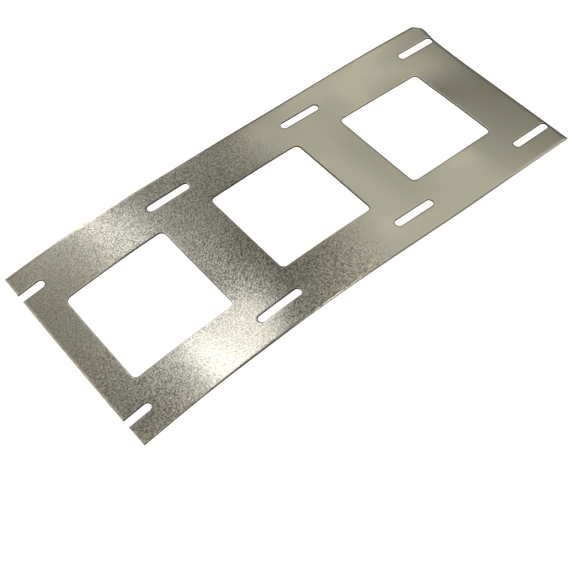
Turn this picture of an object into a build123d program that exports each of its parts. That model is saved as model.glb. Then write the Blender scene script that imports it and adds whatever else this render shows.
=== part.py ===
from build123d import *
import os
from math import cos, pi, radians, sin, sqrt

# A short length of perforated nickel strip for joining battery cells. It is punched from thin
# sheet, and a slight bend, a bow from the coil and wavy long edges are left in it.
# X runs along the strip, Y across it and Z up. The strip lies unheld on a level floor at Z = 0.
# Its form shortens the flat pattern by less than 0.2 mm, so the pattern is kept true in plan.

# Flat pattern
cell_pitch = 20.2  # between the cells' centres, along the strip and across it
strip_width = 26.7
sheet_thickness = 0.15
window_count = 3
window_length = 13.3  # along the strip
window_width = 13.1  # across the strip
window_corner_radius = 0.65
weld_slot_length = 5.9
weld_slot_width = 1.0
left_cut_offset = 0.2  # past the middle of this end's slots, which are cut in two
right_cut_offset = 3.2  # past the middle of this end's slots, just clear of them
cut_step_out = 0.28  # the right cut steps out by this as it passes the far slot
cut_step_length = 2.3

# Form along the middle line, from the right: straight, then a slight bend, then the coil's bow
bend_start = 6.2  # from the middle of the pattern
bend_length = 15.8
bend_radius = 169.0
bow_radius = 214.0

# Waves of the two long edges, which the middle band of the strip doesn't share
flat_band_width = 6.0
near_wave_height = 0.95
near_wave_centre = -20.0
near_wave_reach = 34.6
far_wave_top = 0.47
far_wave_depth = 0.87
far_wave_centre = -0.6
far_wave_reach = 29.2

# The far corner of the right end is bent down, square to its diagonal
bent_tip_length = 0.85
bent_tip_angle = radians(60.0)
bent_tip_radius = 0.3

# The flat land between the two right windows is a true plane
land_clearance = 0.4  # its plate runs this far into the windows before they are punched

# Spacing of the points that carry the sheet's surface
coarse_step = 2.0
fine_step = 0.25
fine_reach = 3.0  # how far the fine points reach in from the bent corner
slope_step = 0.01  # between the points that give the sheet's slope
surface_tolerance = 0.001
join_tolerance = 0.002
cutter_reach = 20.0  # up and down, well past the formed sheet

left_end = -window_count * cell_pitch / 2 - left_cut_offset
right_end = window_count * cell_pitch / 2 + right_cut_offset
half_width = strip_width / 2
half_band = flat_band_width / 2


def hump(distance, reach):
    """A smooth hill, 1 at its middle and 0 from the given reach outwards."""
    return (1 + cos(pi * min(1.0, abs(distance) / reach))) / 2


def bow_height(along):
    """Height of the middle line over the plane of the straight part, with each arc as a parabola."""
    past = max(0.0, bend_start - along)
    bent = min(past, bend_length)
    bowed = past - bent
    bend_drop = bent**2 / (2 * bend_radius)
    bow_drop = bowed * bend_length / bend_radius + bowed**2 / (2 * bow_radius)
    return -bend_drop - bow_drop


def edge_height(along, across):
    """Height of the nearer long edge over the middle band at this place along the strip."""
    if across < 0:
        return near_wave_height * hump(along - near_wave_centre, near_wave_reach)
    return far_wave_top - far_wave_depth * hump(along - far_wave_centre, far_wave_reach)


def sheet_height(along, across):
    """Height of the bowed and wavy sheet over the plane of its straight part."""
    past_band = max(0.0, abs(across) - half_band)
    share = (past_band / (half_width - half_band)) ** 2
    return bow_height(along) + share * edge_height(along, across)


def right_cut(across):
    """Place of the right end's cut: straight, with a smooth step outwards past the far slot."""
    share = (across - (cell_pitch - weld_slot_width) / 2) / cut_step_length
    share = min(1.0, max(0.0, share))
    return right_end + cut_step_out * share**2 * (3 - 2 * share)


def bent_corner(along, across):
    """Where the bend puts a point of the pattern: how far it draws in, and how far it drops."""
    diagonal = (right_cut(half_width) - along + half_width - across) / sqrt(2)
    past_fold = max(0.0, bent_tip_length - diagonal)
    turn = min(bent_tip_angle, past_fold / bent_tip_radius)
    straight = past_fold - turn * bent_tip_radius
    advance = bent_tip_radius * sin(turn) + straight * cos(turn)
    drop = bent_tip_radius * (1 - cos(turn)) + straight * sin(turn)
    return (past_fold - advance) / sqrt(2), drop


def formed_point(along, across):
    """A point of the pattern on the formed underside, over the plane of its straight part."""
    draw, drop = bent_corner(along, across)
    return Vector(along - draw, across - draw, sheet_height(along, across) - drop)


def floor_under():
    """A point and the normal of the floor: the plane through the three places that touch it."""
    left_touch = formed_point(left_end, -half_band)
    near_corner = formed_point(right_end, -half_width)
    bent_tip = formed_point(right_cut(half_width), half_width)
    return left_touch, (near_corner - left_touch).cross(bent_tip - left_touch)


floor_point, floor_normal = floor_under()


def resting_point(along, across):
    """A point of the underside with its height over the level floor."""
    point = formed_point(along, across)
    offset = point - floor_point
    rise = offset.Z + (floor_normal.X * offset.X + floor_normal.Y * offset.Y) / floor_normal.Z
    return Vector(point.X, point.Y, rise)


def sheet_normal(along, across):
    """The direction that points up out of the sheet."""
    run = resting_point(along + slope_step, across) - resting_point(along - slope_step, across)
    side = resting_point(along, across + slope_step) - resting_point(along, across - slope_step)
    return run.cross(side).normalized()


def grid_places(start, end):
    """Places from one edge to the other, coarse at first and fine near the bent corner."""
    coarse_end = end - fine_reach
    coarse_count = round((coarse_end - start) / coarse_step)
    fine_count = round(fine_reach / fine_step)
    coarse = [start + (coarse_end - start) * i / coarse_count for i in range(coarse_count)]
    fine = [coarse_end + fine_reach * i / fine_count for i in range(fine_count + 1)]
    return coarse + fine


def skin_point(place, across, level):
    """A point of one skin. Its place, on the straight cut's length, is stretched to the real cut."""
    share = (place - left_end) / (right_end - left_end)
    along = left_end + share * (right_cut(across) - left_end)
    return resting_point(along, across) + sheet_normal(along, across) * level


def skin(level):
    """The surface of the whole sheet at one level above its underside."""
    across = grid_places(-half_width, half_width)
    rows = [[skin_point(x, y, level) for y in across] for x in grid_places(left_end, right_end)]
    return Face.make_surface_from_array_of_points(rows, tol=surface_tolerance)


def formed_sheet():
    """The sheet with its form but no holes: two skins and a wall along each edge."""
    underside, top = skin(0), skin(sheet_thickness)
    edges = zip(underside.edges(), top.edges())
    walls = [Face.make_surface_from_curves(low, high) for low, high in edges]
    return Solid(Shell([underside, top, *walls]))


def flat_land():
    """The outline of the flat land between the two right windows, on the underside."""
    reach = (cell_pitch - window_length) / 2 + land_clearance
    middle = (window_count / 2 - 1) * cell_pitch
    corners = [(-reach, -half_band), (reach, -half_band), (reach, half_band), (-reach, half_band)]
    outline = Polyline([resting_point(middle + x, y) for x, y in corners], close=True)
    return make_face(outline).face()


def window_places():
    """Middles of the windows, one pitch apart."""
    return [(i - (window_count - 1) / 2) * cell_pitch for i in range(window_count)]


def slot_places():
    """Middles of the weld slots: over each cell, on the webs beside and between the windows."""
    along = [(i - window_count / 2) * cell_pitch for i in range(window_count + 1)]
    return [(x, side * cell_pitch / 2) for x in along for side in (-1, 1)]


def punch():
    """The windows and the weld slots as one upright cutter."""
    window = RectangleRounded(window_length, window_width, window_corner_radius)
    slot = SlotOverall(weld_slot_length, weld_slot_width)
    windows = [Pos(x, 0) * window for x in window_places()]
    slots = [Pos(x, y) * slot for x, y in slot_places()]
    return extrude(Sketch() + windows + slots, cutter_reach, both=True)


def nickel_strip():
    """The formed and punched strip, moved to stand on Z = 0 over the middle of its outline."""
    land = flat_land()
    pocket = extrude(land, cutter_reach, both=True)
    plate = extrude(land, sheet_thickness, dir=land.normal_at())
    strip = (formed_sheet() - pocket).fuse(plate, tol=join_tolerance) - punch()
    box = strip.bounding_box()
    return Pos(-box.center().X, -box.center().Y, -box.min.Z) * strip


os.makedirs("parts", exist_ok=True)
strip = nickel_strip()
strip.label = "nickel_strip"
export_step(strip, "parts/nickel_strip.step")
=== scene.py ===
"""Looks of a perforated nickel connecting strip, as it lies on a pale floor.

The strip is one piece of thin sheet. Its flat pattern is divided into cells, with rings of faces
round each punched hole, and formulas then carry every point of the pattern onto the formed sheet.
Sizes of the strip are in millimetres, and Blender's own lengths are in metres.
"""

import logging
import math
from dataclasses import dataclass, field
from enum import Enum

import bpy
import numpy as np
from mathutils import Matrix, Vector
from numpy.typing import NDArray


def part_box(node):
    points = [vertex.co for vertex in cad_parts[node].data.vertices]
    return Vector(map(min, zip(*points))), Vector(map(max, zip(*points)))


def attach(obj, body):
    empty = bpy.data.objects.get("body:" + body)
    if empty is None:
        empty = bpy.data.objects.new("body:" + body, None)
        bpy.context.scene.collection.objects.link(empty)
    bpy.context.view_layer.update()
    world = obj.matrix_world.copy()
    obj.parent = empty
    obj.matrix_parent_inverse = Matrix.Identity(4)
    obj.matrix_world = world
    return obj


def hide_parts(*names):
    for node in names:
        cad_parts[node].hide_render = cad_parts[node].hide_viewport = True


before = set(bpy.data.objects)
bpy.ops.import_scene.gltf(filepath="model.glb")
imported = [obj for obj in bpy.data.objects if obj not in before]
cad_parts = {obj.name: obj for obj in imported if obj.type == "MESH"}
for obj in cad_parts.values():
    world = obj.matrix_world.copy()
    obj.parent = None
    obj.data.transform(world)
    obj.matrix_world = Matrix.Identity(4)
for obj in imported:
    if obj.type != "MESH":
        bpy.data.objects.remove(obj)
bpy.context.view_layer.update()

Array = NDArray[np.float64]
Indices = NDArray[np.int64]
Marks = NDArray[np.bool_]
Span = tuple[float, float]
Colour = tuple[float, float, float]
Socket = bpy.types.NodeSocket
Value = Socket | float | tuple[float, ...]
Inputs = dict[str | int, Value]

MM = 0.001
ROUNDING = 1e-6  # slack when a length is divided into steps
LINE_DIGITS = 7  # decimals of a millimetre that tell two grid lines apart
POINT_DIGITS = 6  # decimals of a millimetre that tell two points apart
CUT_SHADE_MARK = "cut_shade_mark"  # name of the attribute that is 1 on the dull faces of the cuts, which carry painted shade
WHITE: Colour = (1.0, 1.0, 1.0)
log = logging.getLogger("nickel_strip")


class Cut(Enum):
    """Kinds of cut edge, in mm: how far in the top is drawn down, how deep, and the width of the dull rim
    painted with shade.
    """

    PUNCHED = (0.25, 0.012, 0.045)
    SHEARED = (0.5, 0.035, 0.0)
    SLIT = (0.3, 0.045, 0.025)

    def __init__(self, reach: float, depth: float, shaded_rim_width: float) -> None:
        """Gives the three sizes their names.

        Args:
            reach: How far in from the cut the top is drawn down.
            depth: How deep it is drawn down at the cut.
            shaded_rim_width: Width of the dull rim along the cut, which is painted near-black as painted
                shade.
        """
        self.reach = reach
        self.depth = depth
        self.shaded_rim_width = shaded_rim_width

    def sink(self, distance: Array) -> Array:
        """How far the top sinks: the depth, times the square of the share of the reach that is left."""
        return self.depth * np.clip(1 - distance / self.reach, 0, 1) ** 2

    def is_shaded_rim(self, distance: Array) -> Marks:
        """Which places lie on this cut's dull rim, which is painted with shade."""
        return distance < self.shaded_rim_width


def ease(share: Array) -> Array:
    """A smooth step from 0 to 1: three times the square of the share less twice its cube."""
    share = np.clip(share, 0, 1)
    return share**2 * (3 - 2 * share)


def hump(distance: Array, reach: float) -> Array:
    """A smooth hill: one plus the cosine, halved, from 1 in its middle to 0 at its reach."""
    return (1 + np.cos(np.pi * np.minimum(1, np.abs(distance) / reach))) / 2


def spread(start: float, end: float, step: float) -> Array:
    """Even places from start to end, no further apart than the step."""
    return np.linspace(start, end, max(1, math.ceil((end - start) / step - ROUNDING)) + 1)


def fan(near: float, far: float, count: int) -> Array:
    """Places past the middle of a round corner: the near distance times the tangents of even angles.

    Args:
        near: Distance from the corner's middle to the line that the places are on.
        far: Place of the last one.
        count: Number of steps.

    Returns:
        The places, from 0 to the far one, at even angles seen from the corner's middle.
    """
    return near * np.tan(np.linspace(0, math.atan(far / near), count + 1))


def joined(*runs: Array) -> Array:
    """One rising list of places from several runs, each place once."""
    return np.unique(np.concatenate(runs).round(LINE_DIGITS))


@dataclass(frozen=True)
class Hole:
    """A punched hole of the flat pattern: a rectangle with round corners, in mm."""

    middle: tuple[float, float]
    length: float
    width: float
    corner_radius: float

    def core(self, points: Array) -> Array:
        """The nearest points of the smaller rectangle that the corner radius rolls round."""
        reach = np.array((self.length, self.width)) / 2 - self.corner_radius
        return self.middle + np.clip(points - self.middle, -reach, reach)

    def outline(self, points: Array) -> Array:
        """The nearest points of the outline: out from the core by the corner radius.

        Args:
            points: Places outside the hole, one row of two each.

        Returns:
            The points of the outline, one row of two each.
        """
        core = self.core(points)
        away = points - core
        return core + away * (self.corner_radius / np.linalg.norm(away, axis=-1, keepdims=True))

    def distance(self, points: Array) -> Array:
        """Distance from the outline: the distance from the core, less the corner radius."""
        return np.linalg.norm(points - self.core(points), axis=-1) - self.corner_radius


@dataclass(frozen=True)
class FlatPattern:
    """The strip before it is formed, in mm: X along it and Y across it."""

    cell_pitch: float = 20.2
    width: float = 26.7
    thickness: float = 0.15
    window_count: int = 3
    window_length: float = 13.3
    window_width: float = 13.1
    window_corner_radius: float = 0.65
    weld_slot_length: float = 5.9
    weld_slot_width: float = 1.0
    left_cut_offset: float = 0.2
    right_cut_offset: float = 3.2
    cut_step_out: float = 0.28
    cut_step_length: float = 2.3

    @property
    def half_width(self) -> float:
        """Half the strip's width."""
        return self.width / 2

    @property
    def left_end(self) -> float:
        """Place of the left cut, which runs through the middle of two slots."""
        return -self.window_count * self.cell_pitch / 2 - self.left_cut_offset

    @property
    def right_end(self) -> float:
        """Place of the right cut over its straight length."""
        return self.window_count * self.cell_pitch / 2 + self.right_cut_offset

    def right_cut(self, across: Array) -> Array:
        """The right cut: straight, with a smooth step outwards past the far slot."""
        past_slot = across - (self.cell_pitch - self.weld_slot_width) / 2
        return self.right_end + self.cut_step_out * ease(past_slot / self.cut_step_length)

    def windows(self) -> list[Hole]:
        """The windows, in one row along the strip.

        Returns:
            One hole for each window, one pitch apart.
        """
        size = (self.window_length, self.window_width, self.window_corner_radius)
        first = -(self.window_count - 1) / 2
        return [Hole(((first + i) * self.cell_pitch, 0.0), *size) for i in range(self.window_count)]

    def weld_slots(self) -> list[Hole]:
        """The weld slots, on the webs beside and between the windows.

        Returns:
            One hole for each slot, in two rows. The left cut opens the first of each row.
        """
        size = (self.weld_slot_length, self.weld_slot_width, self.weld_slot_width / 2)
        along = [(i - self.window_count / 2) * self.cell_pitch for i in range(self.window_count + 1)]
        row = self.cell_pitch / 2
        return [Hole((x, side * row), *size) for x in along for side in (-1, 1)]

    def distance_to_hole(self, points: Array) -> Array:
        """Distance from the nearest hole."""
        holes = self.windows() + self.weld_slots()
        return np.min([hole.distance(points) for hole in holes], axis=0)

    def distance_to_ends(self, points: Array) -> Array:
        """Distance from the nearer sheared end."""
        along, across = points[..., 0], points[..., 1]
        return np.minimum(along - self.left_end, self.right_cut(across) - along)

    def distance_to_long_edge(self, points: Array) -> Array:
        """Distance from the nearer long edge, which was slit from the coil."""
        return self.half_width - np.abs(points[..., 1])

    def top_sink(self, points: Array) -> Array:
        """How far the top sinks towards the cuts: the most that any of the three kinds gives.

        Args:
            points: Places in the flat pattern, one row of two each.

        Returns:
            The depth of each place below the flat top.
        """
        return np.maximum.reduce([
            Cut.PUNCHED.sink(self.distance_to_hole(points)),
            Cut.SHEARED.sink(self.distance_to_ends(points)),
            Cut.SLIT.sink(self.distance_to_long_edge(points)),
        ])

    def is_shaded_rim(self, points: Array) -> Marks:
        """Which places lie on the dull rim of a punched hole or a slit edge, which is painted with shade.
        """
        on_hole = Cut.PUNCHED.is_shaded_rim(self.distance_to_hole(points))
        return on_hole | Cut.SLIT.is_shaded_rim(self.distance_to_long_edge(points))


@dataclass(frozen=True)
class Dent:
    """A slight hill or hollow that handling left in the sheet, in mm."""

    height: float
    along: float
    across: float
    reach_along: float
    reach_across: float

    def rise(self, along: Array, across: Array) -> Array:
        """Height of the dent: its own height times a hump along the strip and one across it."""
        rise_along = self.height * hump(along - self.along, self.reach_along)
        return rise_along * hump(across - self.across, self.reach_across)


@dataclass(frozen=True)
class SheetForm:
    """What bending and handling left in the sheet, in mm over its flat pattern."""

    pattern: FlatPattern = FlatPattern()
    bend_start: float = 6.2
    bend_length: float = 15.8
    bend_radius: float = 169.0
    bow_radius: float = 214.0
    flat_band_width: float = 6.0
    near_wave_height: float = 0.95
    near_wave_centre: float = -20.0
    near_wave_reach: float = 34.6
    far_wave_top: float = 0.47
    far_wave_depth: float = 0.87
    far_wave_centre: float = -0.6
    far_wave_reach: float = 29.2
    bent_tip_length: float = 0.85
    bent_tip_angle: float = math.radians(60.0)
    bent_tip_radius: float = 0.3
    # Each dent has its height, its middle along and across, and its reach along and across
    dents: tuple[Dent, ...] = (
        Dent(0.12, -18.4, 15.4, 11.5, 19.8),
        Dent(-0.12, -5.9, 5.6, 12.8, 13.6),
        Dent(-0.12, 15.9, -2.9, 7.9, 20.0),
        Dent(-0.095, 25.9, 4.9, 8.9, 6.0),
        Dent(-0.117, -14.9, -8.1, 7.0, 15.1),
    )
    slope_step: float = 0.001  # between a point and its neighbours that give the sheet's slope

    def bow_height(self, along: Array) -> Array:
        """Height of the middle line: straight, then two arcs, each as a parabola.

        In words: an arc drops by the square of the way along it over twice its radius, and the
        second one also by the slope that the first ends with, times the way along it.

        Args:
            along: Places along the strip.

        Returns:
            The height over the plane of the straight part.
        """
        past = np.maximum(0, self.bend_start - along)
        bent = np.minimum(past, self.bend_length)
        bowed = past - bent
        bend_drop = bent**2 / (2 * self.bend_radius)
        slope = self.bend_length / self.bend_radius
        return -bend_drop - bowed * slope - bowed**2 / (2 * self.bow_radius)

    def edge_height(self, along: Array, across: Array) -> Array:
        """Height of the nearer long edge over the flat middle band: one hump for each edge.

        Args:
            along: Places along the strip.
            across: Places across it, which say which edge is the nearer one.

        Returns:
            The edge's height: up by its hump on the near side, and down by it on the far side.
        """
        near = self.near_wave_height * hump(along - self.near_wave_centre, self.near_wave_reach)
        far_dip = self.far_wave_depth * hump(along - self.far_wave_centre, self.far_wave_reach)
        return np.where(across < 0, near, self.far_wave_top - far_dip)

    def sheet_height(self, along: Array, across: Array) -> Array:
        """Height of the sheet: the bow, plus the dents, plus a share of the nearer edge's height.

        In words: the share is the square of the way from the flat middle band to the edge.

        Args:
            along: Places along the strip.
            across: Places across it.

        Returns:
            The height over the plane of the straight part.
        """
        half_band = self.flat_band_width / 2
        past_band = np.maximum(0, np.abs(across) - half_band)
        share = (past_band / (self.pattern.half_width - half_band)) ** 2
        dents = sum(dent.rise(along, across) for dent in self.dents)
        return self.bow_height(along) + dents + share * self.edge_height(along, across)

    def bent_corner(self, along: Array, across: Array) -> tuple[Array, Array]:
        """The far right corner, bent down square to its diagonal: an arc, then straight.

        Args:
            along: Places along the strip.
            across: Places across it.

        Returns:
            How far each point draws in along both axes, and how far it drops.
        """
        half_width = self.pattern.half_width
        corner = self.pattern.right_cut(np.array(half_width)) + half_width
        diagonal = (corner - along - across) / math.sqrt(2)
        past_fold = np.maximum(0, self.bent_tip_length - diagonal)
        turn = np.minimum(self.bent_tip_angle, past_fold / self.bent_tip_radius)
        straight = past_fold - turn * self.bent_tip_radius
        advance = self.bent_tip_radius * np.sin(turn) + straight * np.cos(turn)
        drop = self.bent_tip_radius * (1 - np.cos(turn)) + straight * np.sin(turn)
        return (past_fold - advance) / math.sqrt(2), drop

    def formed_point(self, along: Array, across: Array) -> Array:
        """Points of the underside, before the strip is laid on the floor.

        Args:
            along: Places along the strip.
            across: Places across it.

        Returns:
            The points over the plane of the strip's straight part, one row of three each.
        """
        draw, drop = self.bent_corner(along, across)
        height = self.sheet_height(along, across) - drop
        return np.stack([along - draw, across - draw, height], axis=-1)

    def floor_under(self) -> tuple[Array, Array]:
        """The floor: the plane through the three places of the underside that touch it.

        Returns:
            A point of the floor, and a normal of it.
        """
        half_width = np.array(self.pattern.half_width)
        half_band = np.array(self.flat_band_width / 2)
        left = self.formed_point(np.array(self.pattern.left_end), -half_band)
        near_corner = self.formed_point(np.array(self.pattern.right_end), -half_width)
        bent_tip = self.formed_point(self.pattern.right_cut(half_width), half_width)
        return left, np.cross(near_corner - left, bent_tip - left)

    def resting_point(self, along: Array, across: Array) -> Array:
        """Points of the underside, with their height over the level floor.

        Args:
            along: Places along the strip.
            across: Places across it.

        Returns:
            The points, one row of three each.
        """
        point = self.formed_point(along, across)
        origin, normal = self.floor_under()
        point[..., 2] = (point - origin) @ (normal / normal[2])
        return point

    def place(self, points: Array, level: Array) -> Array:
        """Carries points of the pattern onto the formed sheet.

        In words: the resting point, plus the level times the unit normal, which is the cross
        product of the surface's two slopes.

        Args:
            points: Places in the flat pattern, one row of two each.
            level: Height of each point over the underside, square to the sheet.

        Returns:
            The points in space, one row of three each.
        """
        along, across = points[..., 0], points[..., 1]
        step = self.slope_step
        run = self.resting_point(along + step, across) - self.resting_point(along - step, across)
        side = self.resting_point(along, across + step) - self.resting_point(along, across - step)
        normal = np.cross(run, side)
        normal /= np.linalg.norm(normal, axis=-1, keepdims=True)
        return self.resting_point(along, across) + normal * level[..., None]


@dataclass(frozen=True)
class PatternGrid:
    """Divides the flat pattern into four-sided faces: a grid of cells, some with a hole, in mm."""

    pattern: FlatPattern = FlatPattern()
    coarse_step: float = 0.5  # the most between two grid lines beside a window
    slot_step: float = 0.35  # the most between two beside a slot
    tip_step: float = 0.1  # the most between two near the right end and the long edges
    tip_reach: float = 1.3  # how far in from there they are as close as that
    end_margin: float = 0.12  # width of the last column, which is stretched to the right cut
    rim_reach: float = 0.45  # how far in from the left cut the lines close up
    rim_steps: int = 7
    slot_side_margin: float = 1.6  # from the middle of a slot to the sides of its cell
    ring_count: int = 10
    ring_even_width: float = 0.25  # how far out from a hole its rings are evenly spaced
    window_corner_steps: tuple[int, int] = (3, 9)  # along the strip, and across it
    slot_corner_steps: tuple[int, int] = (3, 8)

    @property
    def half_gap(self) -> float:
        """Half the way along the strip from a window's end to the next slot's start."""
        return (self.pattern.cell_pitch - self.pattern.window_length - self.pattern.weld_slot_length) / 4

    def rim(self, reach: float) -> Array:
        """Places in from a cut, closer together towards it: the reach times squares."""
        return reach * np.linspace(0, 1, self.rim_steps + 1) ** 2

    def lines_past(self, middle: float, core: float, corner: Array, step: float) -> Array:
        """Grid lines of a cell with a hole: even along its core, and fanned at its corners.

        Args:
            middle: Place of the hole's middle.
            core: Half the hole's length between its round corners.
            corner: Places past the middle of a corner.
            step: The most between two lines along the core.

        Returns:
            The places of the lines.
        """
        start, end = middle - core, middle + core
        return joined(start - corner, spread(start, end, step), end + corner)

    def lines_along(self) -> list[Array]:
        """Grid lines along the strip: the notches, windows and slots in turn, and the right end.

        Returns:
            One list of places for each column of cells.
        """
        p = self.pattern
        window_core = p.window_length / 2 - p.window_corner_radius
        slot_core = (p.weld_slot_length - p.weld_slot_width) / 2
        window_near = p.cell_pitch / 2 - self.slot_side_margin - p.window_width / 2 + p.window_corner_radius
        window_far = self.half_gap + p.window_corner_radius
        slot_far = self.half_gap + p.weld_slot_width / 2
        window_fan = fan(window_near, window_far, self.window_corner_steps[0])
        slot_fan = fan(self.slot_side_margin, slot_far, self.slot_corner_steps[0])
        columns = []
        for window in p.windows():
            middle = window.middle[0]
            columns.append(self.lines_past(middle, window_core, window_fan, self.coarse_step))
            columns.append(self.lines_past(middle + p.cell_pitch / 2, slot_core, slot_fan, self.slot_step))
        columns.pop()  # the last slots' column reaches the right end, and is made below
        last_slot = p.window_count * p.cell_pitch / 2
        notch = joined(
            p.left_end + self.rim(self.rim_reach),
            spread(p.left_end + self.rim_reach, slot_core - last_slot, self.slot_step),
            slot_core - last_slot + slot_fan,
        )
        tip_start, margin_start = p.right_end - self.tip_reach, p.right_end - self.end_margin
        last = joined(
            last_slot - slot_core - slot_fan,
            spread(last_slot - slot_core, tip_start, self.slot_step),
            spread(tip_start, margin_start, self.tip_step),
        )
        margin = p.right_end - self.rim(self.end_margin)[::-1]
        return [notch, *columns, last, margin]

    def lines_across(self) -> list[Array]:
        """Grid lines across the strip: the near edge and slots, the windows, the far slots and edge.

        Returns:
            One list of places for each row of cells.
        """
        p = self.pattern
        slot_row = p.cell_pitch / 2
        core = p.window_width / 2 - p.window_corner_radius
        window_near = self.half_gap + p.window_corner_radius
        slot_near = self.half_gap + p.weld_slot_width / 2
        window_fan = fan(window_near, slot_row - self.slot_side_margin - core, self.window_corner_steps[1])
        slot_fan = fan(slot_near, self.slot_side_margin, self.slot_corner_steps[1])
        windows = self.lines_past(0.0, core, window_fan, self.coarse_step)
        slots = joined(slot_row - slot_fan, slot_row + slot_fan)
        tip_start, rim_start = p.half_width - self.tip_reach, p.half_width - self.tip_step
        edge = joined(
            spread(slot_row + self.slot_side_margin, tip_start, self.slot_step),
            spread(tip_start, rim_start, self.tip_step),
            p.half_width - self.rim(self.tip_step),
        )
        return [-edge[::-1], -slots[::-1], windows, slots, edge]

    def stretched(self, points: Array) -> Array:
        """Stretches the last margin to the real cut, so that the faces follow its step.

        Args:
            points: Places in the pattern with a straight right cut, one row of two each.

        Returns:
            The places, moved along by the cut's step times the share of the margin they are past.
        """
        along, across = points[..., 0], points[..., 1]
        past = np.maximum(0, along - self.pattern.right_end + self.end_margin)
        step_out = self.pattern.right_cut(across) - self.pattern.right_end
        return np.stack([along + past / self.end_margin * step_out, across], axis=-1)

    def border(self, along: Array, across: Array, is_open: bool) -> Array:
        """Points round a cell, anticlockwise, from the low end of its left side and back.

        Args:
            along: The cell's grid lines along the strip.
            across: The cell's grid lines across it.
            is_open: The left side is the strip's cut, so it is left out.

        Returns:
            The points, one row of two each.
        """
        low = np.stack([along, np.full_like(along, across[0])], axis=-1)
        right = np.stack([np.full_like(across, along[-1]), across], axis=-1)
        high = np.stack([along[::-1], np.full_like(along, across[-1])], axis=-1)
        sides = [low, right[1:], high[1:]]
        if not is_open:
            sides.append(np.stack([np.full_like(across, along[0]), across[::-1]], axis=-1)[1:])
        return np.concatenate(sides)

    def rings(self, border: Array, hole: Hole) -> Array:
        """Rings of points from a hole's outline out to the cell's border.

        In words: each ring lies an even step out near the outline, and a part of the rest that
        grows with the fourth power of the ring's number.

        Args:
            border: Points round the cell, one row of two each.
            hole: The hole in the cell.

        Returns:
            The points, by ring and then by place on the border.
        """
        outline = hole.outline(border)
        out = border - outline
        length = np.linalg.norm(out, axis=-1, keepdims=True)
        share = np.linspace(0, 1, self.ring_count + 1)[:, None, None]
        even = np.minimum(length, self.ring_even_width)
        reach = even * share + (length - even) * share**4
        return outline + out / length * reach

    def patches(self) -> list[Array]:
        """Every cell's points: a plain grid, or rings round its hole.

        Returns:
            One array for each cell, with rows and columns of points.
        """
        holes = self.pattern.windows() + self.pattern.weld_slots()
        left_line = round(self.pattern.left_end, LINE_DIGITS)
        found = []
        for along in self.lines_along():
            for across in self.lines_across():
                inside = [
                    hole for hole in holes
                    if along[0] < hole.middle[0] < along[-1] and across[0] < hole.middle[1] < across[-1]
                ]
                if inside:
                    is_open = along[0] == left_line
                    found.append(self.rings(self.border(along, across, is_open), inside[0]))
                else:
                    found.append(np.stack(np.meshgrid(along, across, indexing="ij"), axis=-1))
        return found

    def faces(self) -> tuple[Array, Indices]:
        """The whole pattern, with the points that cells share merged.

        Returns:
            The points, each once, and the faces, anticlockwise from above.
        """
        points, quads, count = [], [], 0
        for patch in self.patches():
            rows, columns = patch.shape[:2]
            number = count + np.arange(rows * columns).reshape(rows, columns)
            corners = [number[:-1, :-1], number[1:, :-1], number[1:, 1:], number[:-1, 1:]]
            quads.append(np.stack(corners, axis=-1).reshape(-1, 4))
            points.append(patch.reshape(-1, 2))
            count += rows * columns
        rounded = np.concatenate(points).round(POINT_DIGITS)
        merged, index = np.unique(rounded, axis=0, return_inverse=True)
        return self.stretched(merged), index.reshape(-1)[np.concatenate(quads)]


def outer_edges(quads: Indices) -> Indices:
    """The edges that only one face has.

    Args:
        quads: The four corners of each face, in turn.

    Returns:
        The two ends of each edge, in its face's direction.
    """
    edges = np.concatenate([quads[:, (i, (i + 1) % 4)] for i in range(4)])
    span = int(quads.max()) + 1
    forward = edges[:, 0] * span + edges[:, 1]
    backward = edges[:, 1] * span + edges[:, 0]
    return edges[~np.isin(forward, backward)]


def opaque(colour: Colour) -> tuple[float, ...]:
    """A colour with full alpha, as a shader's socket takes it."""
    return (*colour, 1.0)


class NodeTree:
    """A short way to write the nodes of a material or of the world."""

    FIRST_COLOUR, SECOND_COLOUR, BLENDED_COLOUR = 6, 7, 2  # places of a Mix node's colour sockets

    def __init__(self, owner: bpy.types.Material | bpy.types.World) -> None:
        """Empties the owner's node tree and keeps it.

        Args:
            owner: The material or the world to write.
        """
        owner.use_nodes = True
        self.tree = owner.node_tree
        self.tree.nodes.clear()

    def add(self, kind: str, inputs: Inputs | None = None, **settings: str) -> bpy.types.Node:
        """Adds a node.

        Args:
            kind: The node's type name after ShaderNode.
            inputs: For a socket's name or number, its value, or another node's socket to link.
            **settings: The node's own properties.

        Returns:
            The new node.
        """
        node = self.tree.nodes.new("ShaderNode" + kind)
        for name, value in settings.items():
            setattr(node, name, value)
        for name, value in (inputs or {}).items():
            if isinstance(value, Socket):
                self.tree.links.new(value, node.inputs[name])
            else:
                node.inputs[name].default_value = value
        return node

    def maths(self, operation: str, *values: Socket | float) -> Socket:
        """A math node's result, from its operation and its values or sockets."""
        return self.add("Math", dict(enumerate(values)), operation=operation).outputs[0]

    def ramp(self, value: Socket, start: float, end: float) -> Socket:
        """A smooth step from 0 at the start to 1 at the end."""
        inputs = {"Value": value, "From Min": start, "From Max": end}
        return self.add("MapRange", inputs, interpolation_type="SMOOTHSTEP").outputs["Result"]

    def blend(self, share: Socket, first: Value, second: Value) -> Socket:
        """Blends two colours, each a value or a socket, by a share."""
        inputs = {"Factor": share, self.FIRST_COLOUR: first, self.SECOND_COLOUR: second}
        return self.add("Mix", inputs, data_type="RGBA").outputs[self.BLENDED_COLOUR]

    def blend_value(self, share: Socket, first: float, second: float) -> Socket:
        """Blends two numbers by a share."""
        return self.maths("MULTIPLY_ADD", share, second - first, first)


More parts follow.
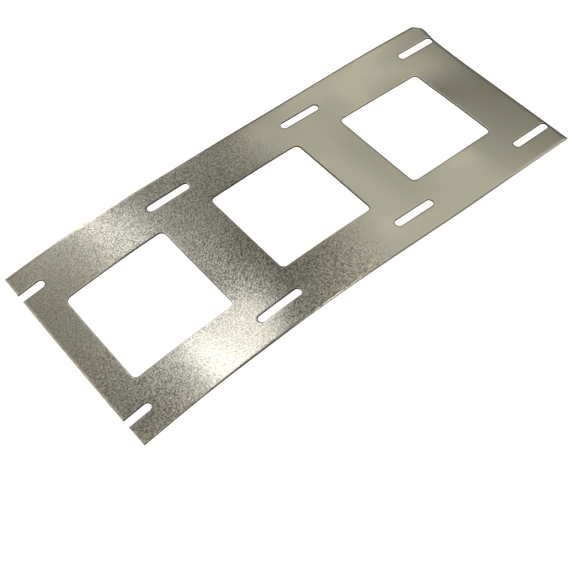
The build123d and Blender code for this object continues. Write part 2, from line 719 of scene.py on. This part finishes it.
@dataclass(frozen=True)
class SmoothArea:
    """An area with less grain, in metres. Each span runs from where it starts to where it is full."""

    loss: float
    along: tuple[Span, ...]
    across: tuple[Span, ...]

    def grain_kept(self, nodes: NodeTree, along: Socket, across: Socket) -> Socket:
        """The share of the grain that is kept: one, less the loss times the product of the ramps.

        Args:
            nodes: The material's nodes.
            along: Place along the strip.
            across: Place across it.

        Returns:
            The share, from one less the loss to one.
        """
        ramps = [nodes.ramp(along, *span) for span in self.along]
        ramps += [nodes.ramp(across, *span) for span in self.across]
        inside = ramps[0]
        for ramp in ramps[1:]:
            inside = nodes.maths("MULTIPLY", inside, ramp)
        return nodes.maths("MULTIPLY_ADD", inside, -self.loss, 1.0)


@dataclass(frozen=True)
class NickelFinish:
    """Rolled nickel sheet: warm grey, half bright, with a fine grain that handling brought out."""

    name: str = "nickel"
    metal: Colour = (0.605, 0.565, 0.425)
    cool_metal: Colour = (0.584, 0.56, 0.434)
    worn_metal: Colour = (0.785, 0.732, 0.58)
    pit_metal: Colour = (0.135, 0.12, 0.085)
    # painted shade: near-black, far darker than dull cut metal, for the dark line along the cuts
    painted_cut_shade: Colour = (0.008, 0.0075, 0.006)
    roughness: float = 0.21
    dull_roughness: float = 0.23
    cut_roughness: float = 0.8
    grain_size: float = 0.00012
    grain_height: float = 0.000008
    grain_along: Span = (0.005, -0.004)  # where the grain starts, and where it is full
    pit_size: float = 0.00008
    pit_tones: Span = (0.75, 0.05)  # tone of the last bright crystals, and of the full pits
    patch_size: float = 0.006
    patch_tones: Span = (0.38, 0.62)
    noise_detail: float = 1.0
    far_side: SmoothArea = SmoothArea(loss=0.3, along=(), across=((-0.004, 0.009),))
    far_end: SmoothArea = SmoothArea(loss=0.5, along=((-0.019, -0.028),), across=((-0.013, 0.004),))
    near_rail: SmoothArea = SmoothArea(
        loss=0.55,
        along=((-0.010, -0.0145), (-0.0275, -0.0215)),
        across=((-0.005, -0.0085),),
    )

    def grain_share(self, nodes: NodeTree, place: Socket) -> Socket:
        """Where the grain shows: over the bowed part, and less on each of the smooth areas.

        Args:
            nodes: The material's nodes.
            place: Place on the strip, in metres.

        Returns:
            A share from 0 to 1.
        """
        axes = nodes.add("SeparateXYZ", {"Vector": place})
        along, across = axes.outputs["X"], axes.outputs["Y"]
        share = nodes.ramp(along, *self.grain_along)
        for area in (self.far_side, self.far_end, self.near_rail):
            share = nodes.maths("MULTIPLY", share, area.grain_kept(nodes, along, across))
        return share

    def noise(self, nodes: NodeTree, place: Socket, size: float) -> Socket:
        """Smooth noise with lumps of one size."""
        inputs = {"Vector": place, "Scale": 1 / size, "Detail": self.noise_detail}
        return nodes.add("TexNoise", inputs).outputs[0]

    def material(self) -> bpy.types.Material:
        """Makes the material.

        In words: plain metal in soft patches of two tints, blended with a mix of bright crystals
        and dark pits where the grain shows, and on the cuts dull metal painted near-black as painted shade.

        Returns:
            The metallic material.
        """
        material = bpy.data.materials.new(self.name)
        nodes = NodeTree(material)
        place = nodes.add("TexCoord").outputs["Object"]
        # 1 on the cut walls and dull rims, which get the painted shade
        cut = nodes.add("Attribute", attribute_name=CUT_SHADE_MARK).outputs["Fac"]
        grained = self.grain_share(nodes, place)
        bump = nodes.add("Bump", {
            "Height": self.noise(nodes, place, self.grain_size),
            "Distance": self.grain_height,
            "Strength": grained,
        })
        crystals = nodes.add("TexVoronoi", {"Vector": place, "Scale": 1 / self.pit_size})
        tone = nodes.add("SeparateColor", {"Color": crystals.outputs["Color"]}).outputs[0]
        pits = nodes.ramp(tone, *self.pit_tones)
        pitted = nodes.blend(pits, opaque(self.worn_metal), opaque(self.pit_metal))
        patches = nodes.ramp(self.noise(nodes, place, self.patch_size), *self.patch_tones)
        plain = nodes.blend(patches, opaque(self.metal), opaque(self.cool_metal))
        metal = nodes.blend(grained, plain, pitted)
        roughness = nodes.blend_value(patches, self.roughness, self.dull_roughness)
        cut_roughness = nodes.maths("MULTIPLY", cut, self.cut_roughness)
        shader = nodes.add("BsdfPrincipled", {
            # painted shade: the cut walls and rims are near-black
            "Base Color": nodes.blend(cut, metal, opaque(self.painted_cut_shade)),
            "Metallic": 1.0,
            "Roughness": nodes.maths("MAXIMUM", roughness, cut_roughness),
            "Normal": bump.outputs[0],
        })
        nodes.add("OutputMaterial", {"Surface": shader.outputs[0]})
        return material


@dataclass(frozen=True)
class FloorFinish:
    """A plain pale floor, bright enough to look white round the strip."""

    name: str = "pale_floor"
    shade: Colour = (0.8, 0.8, 0.8)
    roughness: float = 0.9
    glow_colour: Colour = WHITE
    glow: float = 0.85

    def material(self) -> bpy.types.Material:
        """Makes the material.

        Returns:
            A matt surface without gloss, and with an even light of its own.
        """
        material = bpy.data.materials.new(self.name)
        nodes = NodeTree(material)
        shader = nodes.add("BsdfPrincipled", {
            "Base Color": opaque(self.shade),
            "Roughness": self.roughness,
            "Specular IOR Level": 0.0,
            "Emission Color": opaque(self.glow_colour),
            "Emission Strength": self.glow,
        })
        nodes.add("OutputMaterial", {"Surface": shader.outputs[0]})
        return material


@dataclass
class NickelStrip:
    """The strip itself: one piece of sheet, with its pattern, its form and its finish."""

    form: SheetForm = field(default_factory=SheetForm)
    grid: PatternGrid = field(default_factory=PatternGrid)
    finish: NickelFinish = field(default_factory=NickelFinish)
    node: str = "nickel_strip"
    body: str = "root"
    slot: str = "nickel"

    def skins(self, points: Array) -> Array:
        """The points of both sides of the sheet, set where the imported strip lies.

        Args:
            points: Places in the flat pattern, one row of two each.

        Returns:
            The underside's points and then the top's, in mm, one row of three each.
        """
        level = self.form.pattern.thickness - self.form.pattern.top_sink(points)
        both = np.concatenate([
            self.form.place(points, np.zeros(len(points))),
            self.form.place(points, level),
        ])
        low, high = (np.array(corner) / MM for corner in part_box(self.node))
        shift = (low + high - both.min(axis=0) - both.max(axis=0)) / 2
        shift[2] = low[2] - both[:, 2].min()
        return both + shift

    def build(self) -> bpy.types.Object:
        """Builds the strip: an underside, a top, and a wall along every cut.

        Returns:
            The strip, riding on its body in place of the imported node.
        """
        points, quads = self.grid.faces()
        count = len(points)
        start, end = outer_edges(quads).T
        walls = np.stack([start, end, end + count, start + count], axis=-1)
        faces = np.concatenate([quads + count, quads[:, ::-1], walls])
        mesh = bpy.data.meshes.new(self.node)
        mesh.from_pydata(self.skins(points) * MM, [], faces.tolist())
        mesh.shade_smooth()
        self.sharpen(mesh, np.concatenate([start, start + count]), np.concatenate([end, end + count]))
        self.mark_cuts(mesh, self.form.pattern.is_shaded_rim(points[quads].mean(axis=1)), len(walls))
        mesh.update()
        strip = bpy.data.objects.new(self.node + "_sheet", mesh)
        bpy.context.scene.collection.objects.link(strip)
        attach(strip, self.body)
        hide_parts(self.node)
        return strip

    def sharpen(self, mesh: bpy.types.Mesh, start: Indices, end: Indices) -> None:
        """Keeps the edges between skins and walls sharp in the shading.

        Args:
            mesh: The strip's mesh.
            start: First point of each edge.
            end: Second point of each edge.
        """
        edges = np.zeros(len(mesh.edges) * 2, dtype=np.int32)
        mesh.edges.foreach_get("vertices", edges)
        edges = np.sort(edges.reshape(-1, 2), axis=1).astype(np.int64)
        span = len(mesh.vertices)
        wanted = np.minimum(start, end) * span + np.maximum(start, end)
        sharp = mesh.attributes.new("sharp_edge", "BOOLEAN", "EDGE")
        sharp.data.foreach_set("value", np.isin(edges[:, 0] * span + edges[:, 1], wanted))

    def mark_cuts(self, mesh: bpy.types.Mesh, is_shaded_rim: Marks, wall_count: int) -> None:
        """Marks the faces that have the dull finish of a cut and its painted shade: the rims on the top,
        and the walls.

        Args:
            mesh: The strip's mesh, with the top's faces first, then the underside's and the walls.
            is_shaded_rim: For each face of the top, whether it lies on a dull rim that is painted with
                shade.
            wall_count: Number of wall faces.
        """
        is_cut = np.concatenate([is_shaded_rim, np.zeros(len(is_shaded_rim), bool), np.ones(wall_count, bool)])
        mark = mesh.attributes.new(CUT_SHADE_MARK, "FLOAT", "FACE")
        mark.data.foreach_set("value", is_cut.astype(np.float32))

    def dress(self, strip: bpy.types.Object) -> None:
        """Gives the strip its finish."""
        strip.data.materials.append(self.finish.material())


@dataclass(frozen=True)
class SoftPanel:
    """A soft light panel, as the strip sees it: angles and sides in degrees, distance in metres."""

    name: str
    azimuth: float
    elevation: float
    width: float
    height: float
    brightness: float
    roll: float = 0.0
    colour: Colour = WHITE
    distance: float = 1.2

    def build(self) -> None:
        """Adds the panel, facing the strip, with power for the same brightness at any size."""
        turn, rise = math.radians(self.azimuth), math.radians(self.elevation)
        away = Vector((math.sin(turn) * math.cos(rise), math.cos(turn) * math.cos(rise), math.sin(rise)))
        light = bpy.data.lights.new(self.name, "AREA")
        light.shape = "RECTANGLE"
        light.size = 2 * self.distance * math.tan(math.radians(self.width / 2))
        light.size_y = 2 * self.distance * math.tan(math.radians(self.height / 2))
        light.energy = self.brightness * math.pi * light.size * light.size_y
        light.color = self.colour
        panel = bpy.data.objects.new(self.name, light)
        facing = away.to_track_quat("Z", "Y").to_matrix().to_4x4()
        roll = Matrix.Rotation(-math.radians(self.roll), 4, "Z")
        panel.matrix_world = Matrix.Translation(away * self.distance) @ facing @ roll
        bpy.context.scene.collection.objects.link(panel)


@dataclass
class Studio:
    """The floor, the soft lights and the camera: the camera in mm, and the rest in metres."""

    floor_size: float = 6.0
    floor_drop: float = 0.00002
    room_light: float = 0.15
    horizon_light: float = 0.7
    horizon_top: float = 0.3
    camera_place: tuple[float, float, float] = (-48.497, -56.06, 90.59)
    camera_right: tuple[float, float, float] = (0.76236, -0.64701, -0.01342)
    camera_look: tuple[float, float, float] = (0.36071, 0.44206, -0.82126)
    focal_length: float = 62.612
    sensor_width: float = 36.0
    view_start: float = 1.0
    view_end: float = 10000.0
    floor: FloorFinish = field(default_factory=FloorFinish)
    # Each panel has its name, azimuth, elevation, width, height, brightness, roll and colour
    panels: tuple[SoftPanel, ...] = (
        SoftPanel("key_panel", 14.2, 29.5, 8.0, 57.0, 2.8, 0.7, (0.95, 0.98, 1.13)),
        SoftPanel("side_panel", 104.5, 39.7, 107.0, 8.4, 1.0, -24.4),
        SoftPanel("overhead_panel", -29.7, 70.5, 34.2, 6.0, 0.98, -6.3),
        SoftPanel("low_panel", -8.3, 26.5, 34.8, 35.0, 0.7, 1.4),
        SoftPanel("left_edge_panel", -37.0, 51.0, 12.0, 18.0, 1.0),
        SoftPanel("near_edge_panel", 61.0, 60.0, 10.0, 7.0, 4.0),
        SoftPanel("left_end_panel", -8.0, 60.0, 28.0, 24.0, 0.09),
    )

    def build_floor(self) -> None:
        """Adds the floor, a hair below the strip's lowest points."""
        half = self.floor_size / 2
        corners = [(x * half, y * half, -self.floor_drop) for x, y in ((-1, -1), (1, -1), (1, 1), (-1, 1))]
        mesh = bpy.data.meshes.new("floor")
        mesh.from_pydata(corners, [], [(0, 1, 2, 3)])
        mesh.materials.append(self.floor.material())
        floor = bpy.data.objects.new("floor", mesh)
        bpy.context.scene.collection.objects.link(floor)

    def build_lights(self) -> None:
        """Adds the light of the room, which is brighter towards the horizon, and the soft panels."""
        world = bpy.data.worlds.new("soft_room")
        nodes = NodeTree(world)
        direction = nodes.add("TexCoord").outputs["Generated"]
        height = nodes.add("SeparateXYZ", {"Vector": direction}).outputs["Z"]
        low = nodes.ramp(height, self.horizon_top, 0.0)
        strength = nodes.blend_value(low, self.room_light, self.horizon_light)
        background = nodes.add("Background", {"Color": opaque(WHITE), "Strength": strength})
        nodes.add("OutputWorld", {"Surface": background.outputs[0]})
        bpy.context.scene.world = world
        for panel in self.panels:
            panel.build()

    def build_camera(self) -> None:
        """Adds the camera at the photograph's viewing angle."""
        camera = bpy.data.cameras.new("camera")
        camera.lens = self.focal_length
        camera.sensor_width = self.sensor_width
        camera.clip_start = self.view_start * MM
        camera.clip_end = self.view_end * MM
        viewer = bpy.data.objects.new("camera", camera)
        look = Vector(self.camera_look).normalized()
        right = Vector(self.camera_right).normalized()
        turn = Matrix((right, right.cross(look), -look)).transposed().to_4x4()
        viewer.matrix_world = Matrix.Translation(Vector(self.camera_place) * MM) @ turn
        bpy.context.scene.collection.objects.link(viewer)
        bpy.context.scene.camera = viewer
        bpy.context.scene.view_settings.view_transform = "Standard"


def main() -> None:
    """Builds the studio and the strip, and reports each."""
    logging.basicConfig(level=logging.INFO, format="%(name)s: %(message)s")
    studio = Studio()
    studio.build_camera()
    studio.build_floor()
    studio.build_lights()
    log.info("studio with %d soft panels", len(studio.panels))
    strip = NickelStrip()
    sheet = strip.build()
    strip.dress(sheet)
    log.info("%s with %d faces", sheet.name, len(sheet.data.polygons))


if __name__ == "__main__":
    main()
